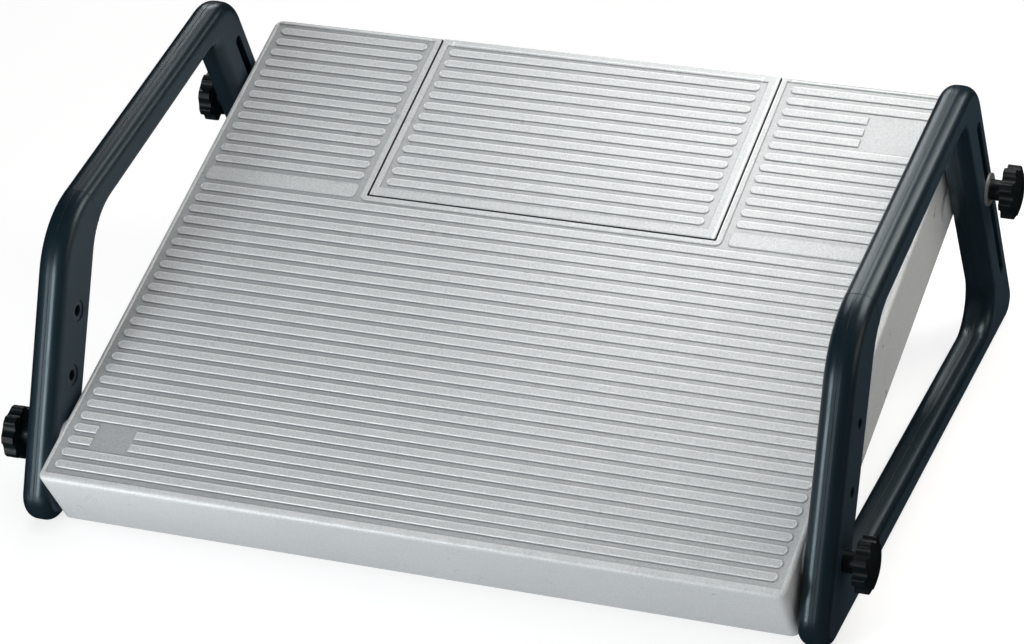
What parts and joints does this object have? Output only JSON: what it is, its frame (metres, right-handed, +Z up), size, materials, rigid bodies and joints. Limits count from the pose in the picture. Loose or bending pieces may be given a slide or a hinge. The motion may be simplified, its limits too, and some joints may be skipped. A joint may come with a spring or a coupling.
{
  "type": "footrest",
  "caption": "Under-desk footrest: ribbed board with a deep skirt and loose rear panel, tilting on bolts between slotted closed side frames, clamped by star knobs.",
  "frame": {"origin": "on the floor, midway between the side frames and midway along the footprint", "axes": "+X to the sitter's right, +Y from the sitter to the rear, +Z up"},
  "size_m": [0.5318, 0.3939, 0.1994],
  "materials": {
    "board": "fine-grained satin moulding",
    "frame": "semi-gloss moulding",
    "knob": "satin",
    "steel": "zinc plated",
    "brass": "turned",
    "pad": "matte"
  },
  "bodies": {
    "side_frames": {"frame_left": "frame", "frame_right": "frame", "floor_pad_front_left": "pad", "floor_pad_front_right": "pad", "floor_pad_rear_left": "pad", "floor_pad_rear_right": "pad"},
    "footboard": {"footboard": "board", "thread_insert_left": "brass", "thread_insert_right": "brass"},
    "insert_panel": {"insert_panel": "board"},
    "rear_clamp_left": {"washer_rear_left": "steel", "clamp_nut_left": "steel"},
    "rear_clamp_right": {"washer_rear_right": "steel", "clamp_nut_right": "steel"},
    "knob_front_left": {"knob_front_left": "knob", "stud_front_left": "steel"},
    "knob_front_right": {"knob_front_right": "knob", "stud_front_right": "steel"},
    "knob_rear_left": {"knob_rear_left": "knob", "stud_rear_left": "steel"},
    "knob_rear_right": {"knob_rear_right": "knob", "stud_rear_right": "steel"}
  },
  "joints": [
    {"name": "board_tilt", "type": "hinge", "parent": "side_frames", "child": "footboard", "pos_m": [0, -0.1539, 0.0444], "axis": [1, 0, 0], "range_deg": [-13.5, 10]},
    {"name": "panel_lift", "type": "slide", "parent": "footboard", "child": "insert_panel", "axis": [0, -0.289, 0.9573], "range_m": [0, 0.06]},
    {"name": "rear_clamp_left_slide", "type": "slide", "parent": "side_frames", "child": "rear_clamp_left", "axis": [0, -0.3785, 0.9256], "range_m": [-0.074, 0.055]},
    {"name": "rear_clamp_right_slide", "type": "slide", "parent": "side_frames", "child": "rear_clamp_right", "axis": [0, -0.3785, 0.9256], "range_m": [-0.074, 0.055]},
    {"name": "knob_front_left_turn", "type": "hinge", "parent": "footboard", "child": "knob_front_left", "pos_m": [-0.25, -0.1539, 0.0444], "axis": [1, 0, 0], "continuous": true},
    {"name": "knob_front_right_turn", "type": "hinge", "parent": "footboard", "child": "knob_front_right", "pos_m": [0.25, -0.1539, 0.0444], "axis": [1, 0, 0], "continuous": true},
    {"name": "knob_rear_left_turn", "type": "hinge", "parent": "rear_clamp_left", "child": "knob_rear_left", "pos_m": [-0.25, 0.14151, 0.1155], "axis": [1, 0, 0], "continuous": true},
    {"name": "knob_rear_right_turn", "type": "hinge", "parent": "rear_clamp_right", "child": "knob_rear_right", "pos_m": [0.25, 0.14151, 0.1155], "axis": [1, 0, 0], "continuous": true}
  ],
  "couplings": [
    {"joint": "rear_clamp_left_slide", "follows": "board_tilt", "m_per_rad": 0.313},
    {"joint": "rear_clamp_right_slide", "follows": "board_tilt", "m_per_rad": 0.313}
  ]
}
